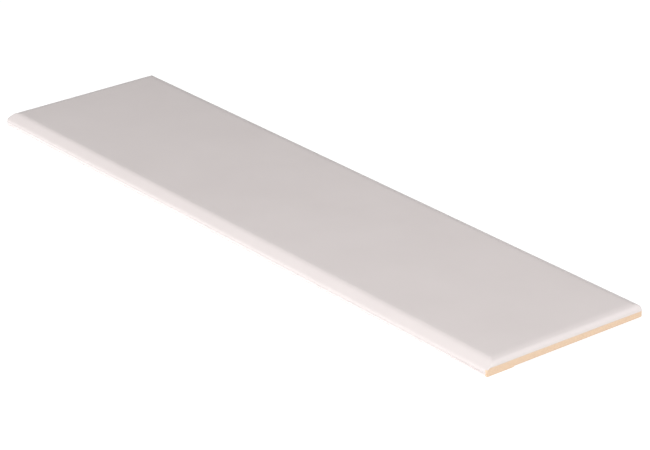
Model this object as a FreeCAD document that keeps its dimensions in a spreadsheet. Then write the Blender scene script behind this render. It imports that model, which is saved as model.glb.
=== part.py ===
import FreeCAD, Part
import math
import os

import Sketcher

# Bullnose trim tile, 4 x 16 inch nominal: one pressed, fired and glazed piece, lying face up.
# +X runs along the length and +Z is up. The bullnose is the long edge at -Y.
# The origin is the middle of the footprint, on the plane of the back.
# Lengths are in millimetres and angles in degrees.

NODE = "bullnose_tile"

# Driving dimensions
SIZES = {
    "tile_length": 400.0,
    "tile_width": 100.0,
    "tile_thickness": 7.2,
    # Bullnose, from the face down: a knee that rolls over to the slope, the slope itself,
    # then a tip with its outermost line at nose_height, standing out over the plain side
    "nose_slope": 33.0,
    "nose_knee_radius": 6.0,
    "nose_tip_radius": 1.5,
    "nose_height": 3.0,
    "nose_overhang": 0.4,
    # Cushion edge of the back and of both short ends: a gentle lead, then a tighter edge
    "cushion_run": 5.4,
    "cushion_drop": 2.2,
    "cushion_lead_radius": 12.0,
    "cushion_lead_slope": 17.0,
    # Back: full-depth land behind the nose, then a shallow relief with keying ribs
    "land_width": 17.0,
    "relief_depth": 0.5,
    "relief_draft": 30.0,
    "rib_width": 4.0,
    "rib_pitch": 10.0,
    "rib_land_gap": 8.0,
    "rib_edge_gap": 8.0,
    "rib_end_gap": 9.0,
    # Break along the bottom edges, smaller than the relief is deep
    "bottom_break": 0.15,
}

# How far a cutting outline reaches past the piece, and how far a rib reaches into it
CUT_MARGIN = 5.0
RIB_ROOT = 0.5

# The two ends of a line or arc, its centre, and the sketch's own origin and horizontal axis
START, END, CENTRE = 1, 2, 3
ORIGIN = (-1, 1)
AXIS = -1


def make_sheet(doc):
    """Puts each driving dimension in a cell of its own and gives the cell its name."""
    sheet = doc.addObject("Spreadsheet::Sheet", "Dims")
    for row, (name, value) in enumerate(SIZES.items(), start=1):
        sheet.set(f"A{row}", name)
        sheet.set(f"B{row}", str(value))
        sheet.setAlias(f"B{row}", name)
    doc.recompute()
    return sheet


def own_datum(body, role):
    """Finds one of the body's own planes or axes."""
    return next(item for item in body.Origin.OriginFeatures if item.Role == role)


def new_sketch(body, name, plane):
    """Adds a sketch on one of the body's own planes."""
    sketch = body.newObject("Sketcher::SketchObject", name)
    sketch.AttachmentSupport = [(own_datum(body, plane), "")]
    sketch.MapMode = "FlatFace"
    return sketch


def add_path(sketch, corners):
    """Adds straight lines from each corner to the next."""
    vectors = [FreeCAD.Vector(x, y, 0) for x, y in corners]
    return [
        sketch.addGeometry(Part.LineSegment(start, end), False)
        for start, end in zip(vectors, vectors[1:])
    ]


def add_arc(sketch, centre, radius, start_angle, end_angle):
    """Adds an arc that runs anticlockwise between two angles."""
    circle = Part.Circle(FreeCAD.Vector(*centre, 0), FreeCAD.Vector(0, 0, 1), radius)
    arc = Part.ArcOfCircle(circle, math.radians(start_angle), math.radians(end_angle))
    return sketch.addGeometry(arc, False)


def rule(sketch, kind, *items):
    sketch.addConstraint(Sketcher.Constraint(kind, *items))


def dimension(sketch, name, formula, kind, *items):
    """Adds a dimension that the sheet drives."""
    index = sketch.addConstraint(Sketcher.Constraint(kind, *items))
    sketch.renameConstraint(index, name)
    sketch.setExpression(f"Constraints.{name}", formula)


def add_cushion(sketch, start, top):
    """Adds the two arcs of a cushion edge, which leaves the face at start; lead first."""
    radius = SIZES["cushion_lead_radius"]
    slope = SIZES["cushion_lead_slope"]
    along = math.sin(math.radians(slope))
    below = math.cos(math.radians(slope))
    ahead = SIZES["cushion_run"] - radius * along
    down = SIZES["cushion_drop"] - radius * (1 - below)
    # The edge arc starts on the lead's slope and ends on a chord between the two
    sweep = 2 * (math.degrees(math.atan2(down, ahead)) - slope)
    edge_radius = math.hypot(ahead, down) / (2 * math.sin(math.radians(sweep / 2)))
    gap = radius - edge_radius
    edge_centre = (start + gap * along, top - radius + gap * below)
    lead = add_arc(sketch, (start, top - radius), radius, 90 - slope, 90)
    edge = add_arc(sketch, edge_centre, edge_radius, 90 - slope - sweep, 90 - slope)
    rule(sketch, "Tangent", lead, START, edge, END)
    dimension(sketch, "lead_radius", "Dims.cushion_lead_radius", "Radius", lead, radius)
    dimension(
        sketch, "lead_slope", "Dims.cushion_lead_slope * 1 deg",
        "Angle", lead, math.radians(slope),
    )
    return lead, edge


def add_nose(sketch, half, top):
    """Adds the knee, slope and tip of the bullnose; returns them and where the face starts."""
    slope = SIZES["nose_slope"]
    knee_radius, tip_radius = SIZES["nose_knee_radius"], SIZES["nose_tip_radius"]
    along, down = math.cos(math.radians(slope)), math.sin(math.radians(slope))
    tip_centre = (tip_radius - half, SIZES["nose_height"])
    tip_start = (tip_centre[0] - tip_radius * down, tip_centre[1] + tip_radius * along)
    knee_foot = top - knee_radius * (1 - along)
    knee_end = (tip_start[0] + (knee_foot - tip_start[1]) * along / down, knee_foot)
    face_start = knee_end[0] + knee_radius * down
    under = math.degrees(math.acos(1 - SIZES["nose_overhang"] / tip_radius))
    knee = add_arc(sketch, (face_start, top - knee_radius), knee_radius, 90, 90 + slope)
    bevel = add_path(sketch, [knee_end, tip_start])[0]
    tip = add_arc(sketch, tip_centre, tip_radius, 90 + slope, 180 + under)
    rule(sketch, "Tangent", knee, END, bevel, START)
    rule(sketch, "Tangent", bevel, END, tip, START)
    dimension(sketch, "knee_radius", "Dims.nose_knee_radius", "Radius", knee, knee_radius)
    dimension(sketch, "tip_radius", "Dims.nose_tip_radius", "Radius", tip, tip_radius)
    dimension(
        sketch, "nose_slope", "Dims.nose_slope * 1 deg", "Angle", knee, math.radians(slope),
    )
    dimension(
        sketch, "tip_height", "Dims.nose_height",
        "DistanceY", *ORIGIN, tip, CENTRE, tip_centre[1],
    )
    dimension(
        sketch, "tip_inset", "Dims.tile_width / 2 - Dims.nose_tip_radius",
        "DistanceX", tip, CENTRE, *ORIGIN, -tip_centre[0],
    )
    crease = tip_centre[1] - tip_radius * math.sin(math.radians(under))
    return knee, tip, face_start, crease


def draw_section(sketch):
    """Draws the cross-section: nose on the left, cushion on the right, stepped back below."""
    half = SIZES["tile_width"] / 2
    top = SIZES["tile_thickness"]
    relief = SIZES["relief_depth"]
    broken = SIZES["bottom_break"]
    side = SIZES["nose_overhang"] - half
    land_end = SIZES["land_width"] - half
    land_foot = land_end - relief * math.tan(math.radians(SIZES["relief_draft"]))
    round_start = half - SIZES["cushion_run"]

    knee, tip, face_start, crease = add_nose(sketch, half, top)
    lead, edge = add_cushion(sketch, round_start, top)
    face = add_path(sketch, [(face_start, top), (round_start, top)])[0]
    back, back_break, relief_floor, land_step, land, side_break, nose_side = add_path(
        sketch,
        [
            (half, top - SIZES["cushion_drop"]),
            (half, relief + broken),
            (half - broken, relief),
            (land_end, relief),
            (land_foot, 0),
            (side + broken, 0),
            (side, broken),
            (side, crease),
        ],
    )

    for line in (face, relief_floor, land):
        rule(sketch, "Horizontal", line)
    for line in (back, nose_side):
        rule(sketch, "Vertical", line)
    rule(sketch, "Tangent", face, END, lead, END)
    rule(sketch, "Tangent", face, START, knee, START)
    rule(sketch, "Coincident", edge, START, back, START)
    rule(sketch, "Coincident", tip, END, nose_side, END)
    straight = (back, back_break, relief_floor, land_step, land, side_break, nose_side)
    for first, second in zip(straight, straight[1:]):
        rule(sketch, "Coincident", first, END, second, START)
    rule(sketch, "PointOnObject", land, START, AXIS)

    dimension(sketch, "thickness", "Dims.tile_thickness", "DistanceY", *ORIGIN, face, START, top)
    dimension(
        sketch, "side_inset", "Dims.tile_width / 2 - Dims.nose_overhang",
        "DistanceX", nose_side, END, *ORIGIN, -side,
    )
    dimension(
        sketch, "cushion_start", "Dims.tile_width / 2 - Dims.cushion_run",
        "DistanceX", *ORIGIN, lead, END, round_start,
    )
    dimension(sketch, "half_width", "Dims.tile_width / 2", "DistanceX", *ORIGIN, back, START, half)
    dimension(
        sketch, "cushion_foot", "Dims.tile_thickness - Dims.cushion_drop",
        "DistanceY", *ORIGIN, back, START, top - SIZES["cushion_drop"],
    )
    dimension(
        sketch, "relief_height", "Dims.relief_depth",
        "DistanceY", *ORIGIN, relief_floor, START, relief,
    )
    dimension(
        sketch, "back_break_height", "Dims.bottom_break",
        "DistanceY", back_break, END, back_break, START, broken,
    )
    dimension(
        sketch, "back_break_width", "Dims.bottom_break",
        "DistanceX", back_break, END, back_break, START, broken,
    )
    dimension(
        sketch, "land_edge", "Dims.tile_width / 2 - Dims.land_width",
        "DistanceX", relief_floor, END, *ORIGIN, -land_end,
    )
    dimension(
        sketch, "land_draft", "Dims.relief_depth * tan(Dims.relief_draft * 1 deg)",
        "DistanceX", land_step, END, land_step, START, land_end - land_foot,
    )
    dimension(
        sketch, "side_break_width", "Dims.bottom_break",
        "DistanceX", side_break, END, side_break, START, broken,
    )
    dimension(
        sketch, "side_break_height", "Dims.bottom_break",
        "DistanceY", side_break, START, side_break, END, broken,
    )


def press_body(body):
    """Presses the cross-section along the whole length."""
    sketch = new_sketch(body, "CrossSection", "YZ_Plane")
    draw_section(sketch)
    pad = body.newObject("PartDesign::Pad", "PressedBody")
    pad.Profile = sketch
    pad.SideType = "Symmetric"
    pad.setExpression("Length", "Dims.tile_length")


def draw_end_waste(sketch):
    """Draws what the cushion takes off one short end, as seen from the side."""
    half = SIZES["tile_length"] / 2
    top = SIZES["tile_thickness"]
    start = half - SIZES["cushion_run"]
    foot = top - SIZES["cushion_drop"]
    lead, edge = add_cushion(sketch, start, top)
    rise, over, fall, under = add_path(
        sketch,
        [
            (start, top),
            (start, top + CUT_MARGIN),
            (half + CUT_MARGIN, top + CUT_MARGIN),
            (half + CUT_MARGIN, foot),
            (half, foot),
        ],
    )
    for line in (over, under):
        rule(sketch, "Horizontal", line)
    for line in (rise, fall):
        rule(sketch, "Vertical", line)
    for first, second in ((rise, over), (over, fall), (fall, under)):
        rule(sketch, "Coincident", first, END, second, START)
    rule(sketch, "Perpendicular", lead, END, rise, START)
    rule(sketch, "Coincident", under, END, edge, START)

    dimension(
        sketch, "cushion_start", "Dims.tile_length / 2 - Dims.cushion_run",
        "DistanceX", *ORIGIN, lead, END, start,
    )
    dimension(sketch, "face_height", "Dims.tile_thickness", "DistanceY", *ORIGIN, lead, END, top)
    dimension(
        sketch, "half_length", "Dims.tile_length / 2",
        "DistanceX", *ORIGIN, edge, START, half,
    )
    dimension(
        sketch, "cushion_foot", "Dims.tile_thickness - Dims.cushion_drop",
        "DistanceY", *ORIGIN, edge, START, foot,
    )
    rule(sketch, "DistanceY", rise, START, rise, END, CUT_MARGIN)
    rule(sketch, "DistanceX", under, END, under, START, CUT_MARGIN)


def cushion_ends(body):
    """Rounds the face down on one short end and mirrors the cut to the other."""
    sketch = new_sketch(body, "EndCushion", "XZ_Plane")
    draw_end_waste(sketch)
    cut = body.newObject("PartDesign::Pocket", "EndCushionCut")
    cut.Profile = sketch
    cut.SideType = "Symmetric"
    cut.setExpression("Length", f"Dims.tile_width + {2 * CUT_MARGIN}")
    mirror = body.newObject("PartDesign::Mirrored", "EndCushions")
    mirror.Originals = [cut]
    mirror.MirrorPlane = (own_datum(body, "YZ_Plane"), [""])
    body.Tip = mirror


def draw_rib(sketch):
    """Draws the round-ended crest of the rib nearest the land."""
    width = SIZES["rib_width"]
    reach = SIZES["tile_length"] / 2 - SIZES["rib_end_gap"] - width / 2
    low = SIZES["land_width"] + SIZES["rib_land_gap"] - SIZES["tile_width"] / 2
    middle = low + width / 2
    near = add_path(sketch, [(-reach, low), (reach, low)])[0]
    right = add_arc(sketch, (reach, middle), width / 2, -90, 90)
    far = add_path(sketch, [(reach, low + width), (-reach, low + width)])[0]
    left = add_arc(sketch, (-reach, middle), width / 2, 90, 270)
    rule(sketch, "Horizontal", near)
    rule(sketch, "Tangent", near, END, right, START)
    rule(sketch, "Tangent", right, END, far, START)
    rule(sketch, "Tangent", far, END, left, START)
    rule(sketch, "Tangent", left, END, near, START)
    dimension(sketch, "half_width", "Dims.rib_width / 2", "Radius", right, width / 2)
    reach_formula = "Dims.tile_length / 2 - Dims.rib_end_gap - Dims.rib_width / 2"
    dimension(sketch, "reach_right", reach_formula, "DistanceX", *ORIGIN, near, END, reach)
    dimension(sketch, "reach_left", reach_formula, "DistanceX", near, START, *ORIGIN, reach)
    dimension(
        sketch, "near_side", "Dims.tile_width / 2 - Dims.land_width - Dims.rib_land_gap",
        "DistanceY", near, START, *ORIGIN, -low,
    )


def rib_back(body):
    """Raises the keying ribs out of the relief, level with the land."""
    sketch = new_sketch(body, "RibCrest", "XY_Plane")
    draw_rib(sketch)
    rib = body.newObject("PartDesign::Pad", "KeyingRib")
    rib.Profile = sketch
    rib.setExpression("Length", f"Dims.relief_depth + {RIB_ROOT}")
    rib.setExpression("TaperAngle", "Dims.relief_draft")
    row = body.newObject("PartDesign::LinearPattern", "KeyingRibs")
    row.Originals = [rib]
    row.Direction = (own_datum(body, "Y_Axis"), [""])
    room = "Dims.tile_width - Dims.land_width - Dims.rib_land_gap - Dims.rib_edge_gap - Dims.rib_width"
    steps = f"floor(({room}) / Dims.rib_pitch)"
    row.setExpression("Occurrences", f"{steps} + 1")
    row.setExpression("Length", f"{steps} * Dims.rib_pitch")
    body.Tip = row


def end_bottom_edges(shape):
    """Names the edges where the back meets the two short ends."""
    end = SIZES["tile_length"] / 2
    names = []
    for number, edge in enumerate(shape.Edges, start=1):
        box = edge.BoundBox
        on_end = abs(abs(box.Center.x) - end) < 0.001 and box.XLength < 0.001
        on_back = box.ZMax < SIZES["relief_depth"] + 0.001 and box.ZLength < 0.001
        if on_end and on_back:
            names.append(f"Edge{number}")
    return names


def break_end_edges(body):
    """Takes the sharp edge off the bottom of both short ends."""
    base = body.Tip
    chamfer = body.newObject("PartDesign::Chamfer", "EndBreaks")
    chamfer.Base = (base, end_bottom_edges(base.Shape))
    chamfer.setExpression("Size", "Dims.bottom_break")
    body.Tip = chamfer


def make_tile(doc):
    body = doc.addObject("PartDesign::Body", "Tile")
    body.Label = NODE
    press_body(body)
    cushion_ends(body)
    rib_back(body)
    doc.recompute()
    break_end_edges(body)
    doc.recompute()
    return body


def check(doc, body):
    """Stops the build if any feature or the finished piece is bad."""
    for item in doc.Objects:
        if "Invalid" in item.State or "Error" in item.State:
            raise RuntimeError(f"{item.Label} did not compute: {item.State}")
    for item in doc.Objects:
        if item.TypeId == "Sketcher::SketchObject" and item.solve() != 0:
            raise RuntimeError(f"{item.Label} does not solve")
    shape = body.Shape
    if shape.isNull() or not shape.isValid() or len(shape.Solids) != 1:
        raise RuntimeError(f"{body.Label} is not one valid solid")


def main():
    doc = FreeCAD.newDocument("BullnoseTile")
    make_sheet(doc)
    body = make_tile(doc)
    check(doc, body)
    os.makedirs("parts", exist_ok=True)
    body.Shape.exportStep(f"parts/{body.Label}.step")
    box = body.Shape.BoundBox
    print(f"{body.Label}: {box.XLength:.3f} x {box.YLength:.3f} x {box.ZLength:.3f} mm")
    print(f"volume {body.Shape.Volume / 1000:.2f} cm3, {len(body.Shape.Faces)} faces")


main()
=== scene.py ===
import math

import bpy
import numpy as np
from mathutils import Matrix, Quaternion, Vector, noise


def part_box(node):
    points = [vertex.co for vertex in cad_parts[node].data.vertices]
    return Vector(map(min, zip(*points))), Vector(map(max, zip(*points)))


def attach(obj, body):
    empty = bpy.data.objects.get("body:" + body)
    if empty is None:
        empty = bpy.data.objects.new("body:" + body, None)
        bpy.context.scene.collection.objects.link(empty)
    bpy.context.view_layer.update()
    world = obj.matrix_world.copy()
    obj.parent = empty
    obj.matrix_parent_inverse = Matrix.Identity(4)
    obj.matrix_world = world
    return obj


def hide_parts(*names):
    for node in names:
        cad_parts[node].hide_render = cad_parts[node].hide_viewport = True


# Bullnose tile: the pressed, fired and glazed piece at full detail, on a pale floor.
# Lengths are in metres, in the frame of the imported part: +X along the length, bullnose at -Y.

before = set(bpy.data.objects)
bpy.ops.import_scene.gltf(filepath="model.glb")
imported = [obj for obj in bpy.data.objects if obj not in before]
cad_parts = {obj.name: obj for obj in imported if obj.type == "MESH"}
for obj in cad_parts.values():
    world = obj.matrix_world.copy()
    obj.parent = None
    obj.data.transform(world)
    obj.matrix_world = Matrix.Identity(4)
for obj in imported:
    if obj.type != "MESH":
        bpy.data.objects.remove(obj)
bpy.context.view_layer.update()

MM = 0.001
NODE = "bullnose_tile"
LOW, HIGH = (Vector(corner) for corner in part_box(NODE))
END = HIGH.x
NOSE_LINE = LOW.y
BACK_LINE = HIGH.y
TOP = HIGH.z

# Cross-section, as in the part's source
NOSE_SLOPE = math.radians(33.0)
NOSE_KNEE = 6.0 * MM
NOSE_TIP = 1.5 * MM
NOSE_HEIGHT = 3.0 * MM
NOSE_OVERHANG = 0.4 * MM
CUSHION_RUN = 5.4 * MM
CUSHION_DROP = 2.2 * MM
CUSHION_LEAD = 12.0 * MM
CUSHION_SLOPE = math.radians(17.0)
LAND_WIDTH = 17.0 * MM
RELIEF_DEPTH = 0.5 * MM
RELIEF_DRAFT = math.radians(30.0)
RIB_WIDTH = 4.0 * MM
RIB_PITCH = 10.0 * MM
RIB_LAND_GAP = 8.0 * MM
RIB_EDGE_GAP = 8.0 * MM
RIB_END_GAP = 9.0 * MM
BOTTOM_BREAK = 0.15 * MM

# How far down the glaze reaches, how much further it does for each metre towards the back,
# how thick its lip is, how much its line wanders and over what length, the least that the lip
# keeps clear of the rim at an end and along the back, how short of the right end the glaze stops
# on the nose, and how far under its line that bare strip starts
GLAZE_REACH = 3.25 * MM
GLAZE_TILT = 6.5 * MM
GLAZE_LIP = 0.10 * MM
LIP_WANDER = 0.07 * MM
LIP_SPAN = 12.0 * MM
END_LIP_ROOM = 0.03 * MM
BACK_LIP_ROOM = 0.02 * MM
BARE_END = 1.4 * MM
BARE_DROP = 0.8 * MM
# The nose of the fired tile: how far it sags at the right end, how far its crease dips there,
# where that starts, and the fine groove along the crease: how deep it gets towards the right end,
# how high it is, and how much deeper and higher it gets close to that end, by which power of the
# way along; at the corner itself, over the runout, it fades out and the plain side comes out to
# the nose
NOSE_SAG = 0.4 * MM
CREASE_DIP = 0.67 * MM
SAG_START = -20.0 * MM
GROOVE_DEPTH = 0.32 * MM
GROOVE_HEIGHT = 0.2 * MM
GROOVE_END = 0.75 * MM
GROOVE_POWER = 25
NOSE_RUNOUT = 4.0 * MM
# Unevenness of the fired face, its length along and across, and softness where two rounds meet
FACE_WAVE = 0.03 * MM
FACE_SPANS = (45.0 * MM, 30.0 * MM)
CORNER_BLEND = 5.0
# Where in the noise the face, the back's lip and the lips of the left and right ends are read
FACE_SEED = 3.0
BACK_SEED = 7.0
END_SEEDS = (26.0, 36.0)
# Upright corners' radius on the raw body, by the sign of Y, and at the glazed rim, by the signs
# of X and Y
RAW_CORNERS = {-1: 0.4 * MM, 1: 1.0 * MM}
RIM_CORNERS = {(-1, -1): 1.0 * MM, (1, -1): 1.0 * MM, (-1, 1): 0.5 * MM, (1, 1): 2.0 * MM}

# Mesh: longest step, faces in each part of the profile, rows of points up a side and how many of
# them stand under the crease, the bottom break's share at the lip, and the angle of a sharp edge
STEP = 2.5 * MM
TIP_STEPS = 8
BEVEL_STEPS = 3
KNEE_STEPS = 7
LEAD_STEPS = 5
EDGE_STEPS = 8
SIDE_ROWS = 10
SIDE_STRAIGHT = 4
LIP_BREAK = 0.3 * BOTTOM_BREAK
SHARP_ANGLE = math.radians(35)

# Materials, in the order of the mesh's slots: glaze, raw clay, and the glaze under the nose, made
# paler as painted light.
# Shades are linear colours, darkest and palest; noise scales are cycles per metre.
GLAZE, BISCUIT, PAINTED_LIT_GLAZE = 0, 1, 2
GLAZE_SHADES = ((0.72, 0.66, 0.65), (0.74, 0.68, 0.67))
GLAZE_ROUGHNESS = (0.16, 0.22)
GLAZE_IOR = 1.5
GLAZE_CLOUD, GLAZE_PATCH, GLAZE_PEEL = 28, 60, 420
GLAZE_PEEL_HEIGHT = 0.010 * MM
# How much paler the plain side under the nose is made: painted light standing in for the brighter
# light that falls there.
UNDER_NOSE_PAINTED_LIGHT = 1.09
BISCUIT_SHADES = ((0.69, 0.50, 0.35), (0.84, 0.645, 0.475))
BISCUIT_ROUGHNESS = 0.9
BISCUIT_SPECULAR = 0.25
BISCUIT_GRAIN = 1500
BISCUIT_GRAIN_HEIGHT = 0.05 * MM

# Floor: size, gap under the tile, its colour to the light, and its colour and glow to the eye
FLOOR_SIZE = 12
FLOOR_GAP = 0.02 * MM
FLOOR_PLAIN = (0.9, 0.9, 0.9, 1)
FLOOR_SEEN = (0.3, 0.3, 0.3, 1)
FLOOR_GLOW = 0.82

# Camera, as solved from the photograph's vanishing lines
CAMERA_TARGET = Vector((0.0189, 0.00104, 0.0))
CAMERA_DISTANCE = 1.4676
CAMERA_ELEVATION = math.radians(23.97)
CAMERA_AZIMUTH = math.radians(51.08)
CAMERA_ROLL = math.radians(0.2)
CAMERA_LENS = 158.13
CAMERA_SENSOR = 36
CAMERA_CLIP = 0.01

# Light: even light from all round, and square soft lamps round one point of the tile, by
# direction, side length and power
WORLD_LIGHT = 0.25
LAMP_AIM = Vector((0.05, 0, 0))
LAMP_DISTANCE = 1.3
LAMPS = (
    ("front_lamp", (0.0, -1.0, 0.5), 1.2, 17.6),
    ("side_lamp", (1.0, 0.0, 0.5), 1.2, 5.7),
    ("back_lamp", (0.7, 0.7, 0.75), 1.6, 8.8),
)


def spread(stops, step):
    """Divides each stretch between stops into even parts no longer than the step."""
    values = [stops[0]]
    for start, end in zip(stops, stops[1:]):
        parts = max(1, math.ceil(abs(end - start) / step - 1e-6))
        values += [start + (end - start) * n / parts for n in range(1, parts + 1)]
    return np.array(values)


def lip_wander(place, seed):
    """How far the glaze's lower line strays up or down at a place along it."""
    return LIP_WANDER * noise.noise(Vector((place / LIP_SPAN, seed, 0.5)))


def cushion_profile():
    """Distances out from the start of a cushion and the drops there, face to side."""
    lead = np.linspace(0, CUSHION_SLOPE, LEAD_STEPS + 1)
    lead_out = CUSHION_LEAD * np.sin(lead)
    lead_fall = CUSHION_LEAD * (1 - np.cos(lead))
    ahead, down = CUSHION_RUN - lead_out[-1], CUSHION_DROP - lead_fall[-1]
    sweep = 2 * (math.atan2(down, ahead) - CUSHION_SLOPE)
    radius = math.hypot(ahead, down) / (2 * math.sin(sweep / 2))
    edge = np.linspace(CUSHION_SLOPE, CUSHION_SLOPE + sweep, EDGE_STEPS + 1)[1:]
    edge_out = lead_out[-1] + radius * (np.sin(edge) - math.sin(CUSHION_SLOPE))
    edge_fall = lead_fall[-1] + radius * (math.cos(CUSHION_SLOPE) - np.cos(edge))
    return np.concatenate([lead_out, edge_out]), np.concatenate([lead_fall, edge_fall])


def nose_profile():
    """Points of the nose from its outermost line up to the face, as Y and Z."""
    tip = np.linspace(math.pi, math.pi / 2 + NOSE_SLOPE, TIP_STEPS + 1)
    tip_y = NOSE_LINE + NOSE_TIP * (1 + np.cos(tip))
    tip_z = NOSE_HEIGHT + NOSE_TIP * np.sin(tip)
    knee_foot = TOP - NOSE_KNEE * (1 - math.cos(NOSE_SLOPE))
    bevel_z = np.linspace(tip_z[-1], knee_foot, BEVEL_STEPS + 1)[1:]
    bevel_y = tip_y[-1] + (bevel_z - tip_z[-1]) / math.tan(NOSE_SLOPE)
    knee = np.linspace(NOSE_SLOPE, 0, KNEE_STEPS + 1)[1:]
    knee_y = bevel_y[-1] + NOSE_KNEE * (math.sin(NOSE_SLOPE) - np.sin(knee))
    knee_z = TOP - NOSE_KNEE * (1 - np.cos(knee))
    return np.concatenate([tip_y, bevel_y, knee_y]), np.concatenate([tip_z, bevel_z, knee_z])


def rib_lines():
    """Middle lines of the keying ribs."""
    first = NOSE_LINE + LAND_WIDTH + RIB_LAND_GAP + RIB_WIDTH / 2
    last = BACK_LINE - RIB_EDGE_GAP - RIB_WIDTH / 2
    count = math.floor((last - first) / RIB_PITCH + 1e-6) + 1
    return [first + n * RIB_PITCH for n in range(count)]


FLANK = RELIEF_DEPTH * math.tan(RELIEF_DRAFT)
LAND_END = NOSE_LINE + LAND_WIDTH
SIDE_LINE = NOSE_LINE + NOSE_OVERHANG
CREASE = NOSE_HEIGHT - math.sqrt(NOSE_TIP**2 - (NOSE_TIP - NOSE_OVERHANG) ** 2)
RIBS = rib_lines()
RIB_REACH = END - RIB_END_GAP - RIB_WIDTH / 2


def back_height(x, y):
    """Height of the back over the floor: land, relief and ribs."""
    height = np.clip((y - (LAND_END - FLANK)) / FLANK, 0, 1) * RELIEF_DEPTH
    beyond = max(abs(x) - RIB_REACH, 0)
    for middle in RIBS:
        away = np.hypot(beyond, y - middle) - RIB_WIDTH / 2
        height = np.minimum(height, np.clip(away / FLANK, 0, 1) * RELIEF_DEPTH)
    return height


def middle_columns():
    """Y of the columns between the nose and the back cushion."""
    stops = [NOSE_Y[-1], LAND_END - FLANK, LAND_END]
    crest = RIB_WIDTH / 2
    for middle in RIBS:
        stops += [middle + side for side in (-crest - FLANK, -crest, 0, crest, crest + FLANK)]
    stops.append(BACK_LINE - CUSHION_RUN)
    return spread(stops, STEP)


# Columns of the face and of the back, from the nose to the back edge
NOSE_Y, NOSE_Z = nose_profile()
MIDDLE_Y = middle_columns()
CUSHION_OUT, CUSHION_FALL = cushion_profile()
TOP_Y = np.concatenate([NOSE_Y, MIDDLE_Y[1:], BACK_LINE - CUSHION_RUN + CUSHION_OUT[1:]])
TOP_FALL = np.concatenate([TOP - NOSE_Z, 0 * MIDDLE_Y[1:], CUSHION_FALL[1:]])
UNDER_Y = np.concatenate([
    np.linspace(SIDE_LINE + BOTTOM_BREAK, MIDDLE_Y[0], len(NOSE_Y)),
    MIDDLE_Y[1:],
    np.linspace(MIDDLE_Y[-1], BACK_LINE - BOTTOM_BREAK, len(CUSHION_OUT))[1:],
])
COLUMNS = len(TOP_Y)
LOOP = 2 * COLUMNS + 2 * SIDE_ROWS
# How much of the nose's sag each column takes: none on the knee, the whole at the tip
KNEE_FALL = NOSE_KNEE * (1 - math.cos(NOSE_SLOPE))
TIP_FALL = TOP - NOSE_HEIGHT - NOSE_TIP * math.cos(NOSE_SLOPE)
SAG_SHARE = np.where(
    TOP_Y < NOSE_Y[-1],
    np.clip((TOP_FALL - KNEE_FALL) / (TIP_FALL - KNEE_FALL), 0, 1),
    0,
)


def sag_at(x):
    """How far along the nose's sag is: none left of its start, the whole at the right end."""
    return max(0.0, (x - SAG_START) / (END - SAG_START))


def face_points(x, end_drop):
    """The glazed face across the tile at one station, nose to back edge."""
    fall = TOP_FALL + NOSE_SAG * sag_at(x) * SAG_SHARE
    total = (fall**CORNER_BLEND + end_drop**CORNER_BLEND) ** (1 / CORNER_BLEND)
    along, across = FACE_SPANS
    waves = [1 + noise.noise(Vector((x / along, y / across, FACE_SEED))) for y in TOP_Y]
    heights = TOP - total - FACE_WAVE * np.array(waves)
    return np.stack([np.full(COLUMNS, x), TOP_Y, heights], axis=1)


def glaze_line(y):
    """Height of the glaze's lower line, which sits a little lower towards the back."""
    return TOP - GLAZE_REACH - GLAZE_TILT * y


def lip_points(x, face):
    """The glaze's lower line across a short end; at the nose it is the rim."""
    points = face.copy()
    points[:, 0] = x
    waves = np.array([lip_wander(y, END_SEEDS[int(x > 0)]) for y in TOP_Y])
    points[:, 2] = np.minimum(glaze_line(TOP_Y) + waves, face[:, 2] - END_LIP_ROOM)
    return points


def under_points(x, lift):
    """The back across the tile at one station, nose side to back edge."""
    return np.stack([np.full(COLUMNS, x), UNDER_Y, back_height(x, UNDER_Y) + lift], axis=1)


def back_points(x, raw_x, corner_z):
    """The back side from the bottom up: raw body, then the lip of the glaze."""
    lip = min(glaze_line(BACK_LINE) + lip_wander(x, BACK_SEED), corner_z - BACK_LIP_ROOM)
    heights = np.linspace(RELIEF_DEPTH + BOTTOM_BREAK, lip - GLAZE_LIP, SIDE_ROWS - 1)
    return [(raw_x, BACK_LINE - GLAZE_LIP, z) for z in heights] + [(x, BACK_LINE, lip)]


def inside(x):
    """1 along the tile, falling to 0 at the right end's corner."""
    return min(1.0, (END - x) / NOSE_RUNOUT)


def groove_at(x):
    """Depth and height of the groove: shallow at the left, growing fast close to the right end."""
    along = (x + END) / (2 * END)
    growth = GROOVE_END * along**GROOVE_POWER * inside(x)
    return GROOVE_DEPTH * along * inside(x) + growth, GROOVE_HEIGHT + growth


def nose_side_points(x, raw_x, tip_z):
    """The plain side under the nose from the bottom up, the groove, and the nose's underside."""
    crease = CREASE - CREASE_DIP * sag_at(x)
    depth, height = groove_at(x)
    heights = np.linspace(BOTTOM_BREAK, crease - height, SIDE_STRAIGHT)
    side_y = NOSE_LINE + NOSE_OVERHANG * inside(x)
    points = [(raw_x, side_y, z) for z in heights]
    points.append((raw_x, side_y + depth, crease))
    under = math.acos(1 - NOSE_OVERHANG / NOSE_TIP)
    stretch = (tip_z - crease) / (NOSE_HEIGHT - CREASE)
    for angle in np.linspace(under, 0, SIDE_ROWS - SIDE_STRAIGHT)[:-1]:
        y = NOSE_LINE + NOSE_TIP * (1 - math.cos(angle))
        z = NOSE_HEIGHT - NOSE_TIP * math.sin(angle)
        points.append((x, y, crease + (z - CREASE) * stretch))
    return points


def ring(face, raw_x, lift=0.0):
    """One closed loop round the tile: back, back side, face, side under the nose."""
    x = face[0, 0]
    under = under_points(raw_x, lift)
    back = back_points(x, raw_x, face[-1, 2])
    side = nose_side_points(x, raw_x, face[0, 2])
    return np.concatenate([under, back, face[::-1], side[::-1]])


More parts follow.
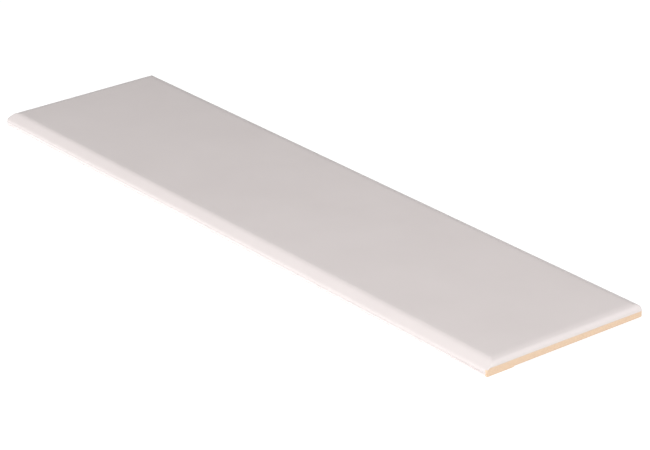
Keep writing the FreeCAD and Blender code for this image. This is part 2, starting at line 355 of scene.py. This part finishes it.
def end_rings(sign):
    """The rings of one short end, from the start of its cushion out to the raw face."""
    raw_end = END - GLAZE_LIP
    start = END - CUSHION_RUN
    raw_stop = raw_end - BOTTOM_BREAK
    rings = []
    for out, drop in zip(CUSHION_OUT, CUSHION_FALL):
        raw_x = start + (raw_stop - start) * out / CUSHION_RUN
        rings.append(ring(face_points(sign * (start + out), drop), sign * raw_x))
    rim = face_points(sign * END, CUSHION_DROP)
    lip = lip_points(sign * END, rim)
    rings.append(ring(lip, sign * (raw_end - LIP_BREAK), LIP_BREAK))
    root = lip.copy()
    root[:, 0] = sign * raw_end
    root[:, 2] -= GLAZE_LIP
    rings.append(ring(root, sign * raw_end, BOTTOM_BREAK))
    return rings


def station_rings():
    """The rings of the straight part, with closer stations at the ends of the ribs."""
    rib_end = RIB_REACH + RIB_WIDTH / 2
    stops = [-END + CUSHION_RUN, -rib_end - FLANK, -rib_end, -RIB_REACH]
    stops += [-x for x in reversed(stops)]
    stations = spread(stops, STEP)[1:-1]
    return [ring(face_points(x, 0.0), x) for x in stations]


def cap_grid(last_ring):
    """A grid of points over a raw end face, fitted between the four sides of its outline."""
    under = last_ring[:COLUMNS]
    back = last_ring[COLUMNS:COLUMNS + SIDE_ROWS]
    top = last_ring[COLUMNS + SIDE_ROWS:2 * COLUMNS + SIDE_ROWS][::-1]
    side = last_ring[2 * COLUMNS + SIDE_ROWS:][::-1]
    left = np.concatenate([under[:1], side, top[:1]])
    right = np.concatenate([under[-1:], back, top[-1:]])
    across = (top[:, 1] - top[0, 1]) / (top[-1, 1] - top[0, 1])
    rises = [(edge[:, 2] - edge[0, 2]) / (edge[-1, 2] - edge[0, 2]) for edge in (left, right)]
    up = (rises[0] + rises[1]) / 2
    u, v = across[None, :, None], up[:, None, None]
    straight = (1 - v) * under[None] + v * top[None]
    sides = (1 - u) * left[:, None] + u * right[:, None]
    low, high = ((1 - u) * left[n] + u * right[n] for n in (0, -1))
    return straight + sides - ((1 - v) * low + v * high)


def round_in_plan(points):
    """Rounds the four upright corners as seen from above, each in its own way."""
    rim = TOP - CUSHION_DROP
    raw = glaze_line(BACK_LINE)
    share = np.clip((points[:, 2] - raw) / (rim - raw), 0, 1)
    signs = [tuple(pair) for pair in np.where(points[:, :2] > 0, 1, -1).tolist()]
    rim_radius = np.array([RIM_CORNERS[pair] for pair in signs])
    raw_radius = np.array([min(RAW_CORNERS[pair[1]], RIM_CORNERS[pair]) for pair in signs])
    radius = raw_radius + (rim_radius - raw_radius) * share
    u = (np.abs(points[:, 0]) - END) / radius + 1
    v = (np.abs(points[:, 1]) - BACK_LINE) / radius + 1
    corner = (u > 0) & (v > 0)
    u, v, radius = u[corner], v[corner], radius[corner]
    scale = np.maximum(u, v) / np.hypot(u, v)
    points[corner, 0] = np.sign(points[corner, 0]) * (END + radius * (u * scale - 1))
    points[corner, 1] = np.sign(points[corner, 1]) * (BACK_LINE + radius * (v * scale - 1))


def loop_slots():
    """The material of each strip of faces round the loop."""
    back = [BISCUIT] * SIDE_ROWS + [GLAZE]
    # The lowest strips, on the plain side under the nose, take the paler glaze, which is painted
    # light.
    side = [GLAZE] * (SIDE_ROWS - SIDE_STRAIGHT + 1) + [PAINTED_LIT_GLAZE] * SIDE_STRAIGHT
    return [BISCUIT] * (COLUMNS - 1) + back + [GLAZE] * (COLUMNS - 1) + side


def bare_nose(centre):
    """Whether a face lies on the strip of the nose's right end that the glaze leaves bare."""
    x, y, z = centre
    at_nose = y < SIDE_LINE + GROOVE_DEPTH + GROOVE_END
    return x > END - BARE_END and at_nose and z < glaze_line(y) - BARE_DROP


def skin_faces(points, ring_count):
    """The faces between each ring and the next, and their materials."""
    faces, slots = [], []
    strip = loop_slots()
    for i in range(ring_count - 1):
        low, high = i * LOOP, (i + 1) * LOOP
        for j in range(LOOP):
            after = (j + 1) % LOOP
            face = (low + j, low + after, high + after, high + j)
            faces.append(face)
            bare = bare_nose(sum(points[n] for n in face) / 4)
            slots.append(BISCUIT if bare else strip[j])
    return faces, slots


def add_cap(points, ring_index, sign):
    """Adds the inner points of one raw end to the list of points; returns its faces."""
    base = ring_index * LOOP
    grid = cap_grid(np.array(points[base:base + LOOP]))
    rows = SIDE_ROWS + 2
    number = np.zeros((rows, COLUMNS), int)
    number[0] = base + np.arange(COLUMNS)
    number[-1] = base + COLUMNS + SIDE_ROWS + np.arange(COLUMNS)[::-1]
    number[1:-1, -1] = base + COLUMNS + np.arange(SIDE_ROWS)
    number[1:-1, 0] = base + 2 * COLUMNS + SIDE_ROWS + np.arange(SIDE_ROWS)[::-1]
    for r in range(1, rows - 1):
        for c in range(1, COLUMNS - 1):
            number[r, c] = len(points)
            points.append(grid[r, c])
    faces = []
    for r in range(rows - 1):
        for c in range(COLUMNS - 1):
            quad = (number[r, c], number[r, c + 1], number[r + 1, c + 1], number[r + 1, c])
            faces.append(quad if sign > 0 else quad[::-1])
    return faces


def build_tile():
    """The whole tile as one closed mesh, with a material for each face."""
    rings = end_rings(-1)[::-1] + station_rings() + end_rings(1)
    points = list(np.concatenate(rings))
    faces, slots = skin_faces(points, len(rings))
    for ring_index, sign in ((0, -1), (len(rings) - 1, 1)):
        cap = add_cap(points, ring_index, sign)
        faces += cap
        slots += [BISCUIT] * len(cap)
    points = np.array(points)
    round_in_plan(points)
    mesh = bpy.data.meshes.new("tile_fired")
    mesh.from_pydata(points.tolist(), [], [[int(n) for n in face] for face in faces])
    for polygon, material_slot in zip(mesh.polygons, slots):
        polygon.material_index = material_slot
        polygon.use_smooth = True
    mesh.set_sharp_from_angle(angle=SHARP_ANGLE)
    mesh.validate()
    tile = bpy.data.objects.new("tile_fired", mesh)
    bpy.context.collection.objects.link(tile)
    return tile


def new_material(name):
    """A material with its nodes, its links and its main shader."""
    material = bpy.data.materials.new(name)
    material.use_nodes = True
    nodes = material.node_tree.nodes
    return material, nodes, material.node_tree.links, nodes["Principled BSDF"]


def noise_node(nodes, links, place, scale, detail, roughness=0.5):
    """Noise in the object's own coordinates; the scale is cycles per metre."""
    node = nodes.new("ShaderNodeTexNoise")
    node.inputs["Scale"].default_value = scale
    node.inputs["Detail"].default_value = detail
    node.inputs["Roughness"].default_value = roughness
    links.new(place, node.inputs["Vector"])
    return node.outputs["Fac"]


def ramp(nodes, links, value, stops):
    """A colour ramp between two stops, each a pair of place and linear colour."""
    node = nodes.new("ShaderNodeValToRGB")
    for element, (place, colour) in zip(node.color_ramp.elements, stops):
        element.position = place
        element.color = (*colour, 1)
    links.new(value, node.inputs["Fac"])
    return node.outputs["Color"]


def span(nodes, links, value, low, high, to_low, to_high):
    """Maps a value from one range to another."""
    node = nodes.new("ShaderNodeMapRange")
    ends = {"From Min": low, "From Max": high, "To Min": to_low, "To Max": to_high}
    for name, number in ends.items():
        node.inputs[name].default_value = number
    links.new(value, node.inputs["Value"])
    return node.outputs["Result"]


def bump(nodes, links, height, distance):
    """Fine relief in the surface's normal, from a height between 0 and 1."""
    node = nodes.new("ShaderNodeBump")
    node.inputs["Strength"].default_value = 1.0
    node.inputs["Distance"].default_value = distance
    links.new(height, node.inputs["Height"])
    return node.outputs["Normal"]


def glaze_material(name, painted_light_factor):
    """Glossy glaze, with its shades scaled by a factor of painted light: 1 for the glaze itself,
    above 1 for the paler copy under the nose.
    """
    material, nodes, links, shader = new_material(name)
    place = nodes.new("ShaderNodeTexCoord").outputs["Object"]
    cloud = noise_node(nodes, links, place, GLAZE_CLOUD, 3)
    dark, pale = (tuple(part * painted_light_factor for part in shade) for shade in GLAZE_SHADES)
    colour = ramp(nodes, links, cloud, [(0.3, dark), (0.7, pale)])
    links.new(colour, shader.inputs["Base Color"])
    patch = noise_node(nodes, links, place, GLAZE_PATCH, 2)
    roughness = span(nodes, links, patch, 0.3, 0.7, *GLAZE_ROUGHNESS)
    links.new(roughness, shader.inputs["Roughness"])
    peel = noise_node(nodes, links, place, GLAZE_PEEL, 2)
    links.new(bump(nodes, links, peel, GLAZE_PEEL_HEIGHT), shader.inputs["Normal"])
    shader.inputs["IOR"].default_value = GLAZE_IOR
    return material


def biscuit_material():
    """Raw fired clay, matt and grainy."""
    material, nodes, links, shader = new_material("biscuit")
    place = nodes.new("ShaderNodeTexCoord").outputs["Object"]
    grain = noise_node(nodes, links, place, BISCUIT_GRAIN, 4, 0.7)
    dark, pale = BISCUIT_SHADES
    colour = ramp(nodes, links, grain, [(0.25, dark), (0.75, pale)])
    links.new(colour, shader.inputs["Base Color"])
    links.new(bump(nodes, links, grain, BISCUIT_GRAIN_HEIGHT), shader.inputs["Normal"])
    shader.inputs["Roughness"].default_value = BISCUIT_ROUGHNESS
    shader.inputs["Specular IOR Level"].default_value = BISCUIT_SPECULAR
    return material


def build_floor():
    """A white floor: plain to the light, pure white to the eye, with a faint shadow."""
    bpy.ops.mesh.primitive_plane_add(size=FLOOR_SIZE, location=(0, 0, -FLOOR_GAP))
    floor = bpy.context.object
    floor.name = "floor"
    material = bpy.data.materials.new("floor_white")
    material.use_nodes = True
    nodes, links = material.node_tree.nodes, material.node_tree.links
    nodes.clear()
    plain = nodes.new("ShaderNodeBsdfDiffuse")
    plain.inputs["Color"].default_value = FLOOR_PLAIN
    seen = nodes.new("ShaderNodeBsdfDiffuse")
    seen.inputs["Color"].default_value = FLOOR_SEEN
    glow = nodes.new("ShaderNodeEmission")
    glow.inputs["Strength"].default_value = FLOOR_GLOW
    both = nodes.new("ShaderNodeAddShader")
    links.new(seen.outputs[0], both.inputs[0])
    links.new(glow.outputs[0], both.inputs[1])
    path = nodes.new("ShaderNodeLightPath")
    either = nodes.new("ShaderNodeMath")
    either.operation = "MAXIMUM"
    links.new(path.outputs["Is Camera Ray"], either.inputs[0])
    links.new(path.outputs["Is Glossy Ray"], either.inputs[1])
    mix = nodes.new("ShaderNodeMixShader")
    links.new(either.outputs[0], mix.inputs["Fac"])
    links.new(plain.outputs[0], mix.inputs[1])
    links.new(both.outputs[0], mix.inputs[2])
    output = nodes.new("ShaderNodeOutputMaterial")
    links.new(mix.outputs[0], output.inputs["Surface"])
    floor.data.materials.append(material)


def build_world():
    """Even light from all round, seen as white."""
    world = bpy.data.worlds.new("studio")
    world.use_nodes = True
    nodes, links = world.node_tree.nodes, world.node_tree.links
    nodes.clear()
    light = nodes.new("ShaderNodeBackground")
    light.inputs["Color"].default_value = (1, 1, 1, 1)
    light.inputs["Strength"].default_value = WORLD_LIGHT
    white = nodes.new("ShaderNodeBackground")
    white.inputs["Color"].default_value = (1, 1, 1, 1)
    path = nodes.new("ShaderNodeLightPath")
    mix = nodes.new("ShaderNodeMixShader")
    links.new(path.outputs["Is Camera Ray"], mix.inputs["Fac"])
    links.new(light.outputs[0], mix.inputs[1])
    links.new(white.outputs[0], mix.inputs[2])
    output = nodes.new("ShaderNodeOutputWorld")
    links.new(mix.outputs[0], output.inputs["Surface"])
    bpy.context.scene.world = world


def soft_lamp(name, direction, size, power):
    """A square soft light that faces the near half of the tile."""
    lamp = bpy.data.lights.new(name, "AREA")
    lamp.shape = "SQUARE"
    lamp.size = size
    lamp.energy = power
    holder = bpy.data.objects.new(name, lamp)
    towards = Vector(direction).normalized()
    holder.location = LAMP_AIM + towards * LAMP_DISTANCE
    holder.rotation_euler = towards.to_track_quat("Z", "Y").to_euler()
    bpy.context.collection.objects.link(holder)


def build_camera():
    """The photograph's viewpoint."""
    level = math.cos(CAMERA_ELEVATION)
    view = Vector((
        -math.sin(CAMERA_AZIMUTH) * level,
        math.cos(CAMERA_AZIMUTH) * level,
        -math.sin(CAMERA_ELEVATION),
    ))
    camera = bpy.data.cameras.new("camera")
    camera.lens = CAMERA_LENS
    camera.sensor_width = CAMERA_SENSOR
    camera.sensor_fit = "HORIZONTAL"
    camera.clip_start = CAMERA_CLIP
    holder = bpy.data.objects.new("camera", camera)
    holder.location = CAMERA_TARGET - CAMERA_DISTANCE * view
    upright = view.to_track_quat("-Z", "Y")
    holder.rotation_euler = (Quaternion(view, CAMERA_ROLL) @ upright).to_euler()
    bpy.context.collection.objects.link(holder)
    bpy.context.scene.camera = holder


tile = build_tile()
tile.data.materials.append(glaze_material("glaze", 1.0))
tile.data.materials.append(biscuit_material())
# The paler copy of the glaze is painted light for the plain side under the nose.
tile.data.materials.append(glaze_material("glaze_painted_light_under_nose", UNDER_NOSE_PAINTED_LIGHT))
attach(tile, "root")
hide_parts(NODE)
build_floor()
build_world()
for lamp_values in LAMPS:
    soft_lamp(*lamp_values)
build_camera()
bpy.context.scene.view_settings.view_transform = "Standard"
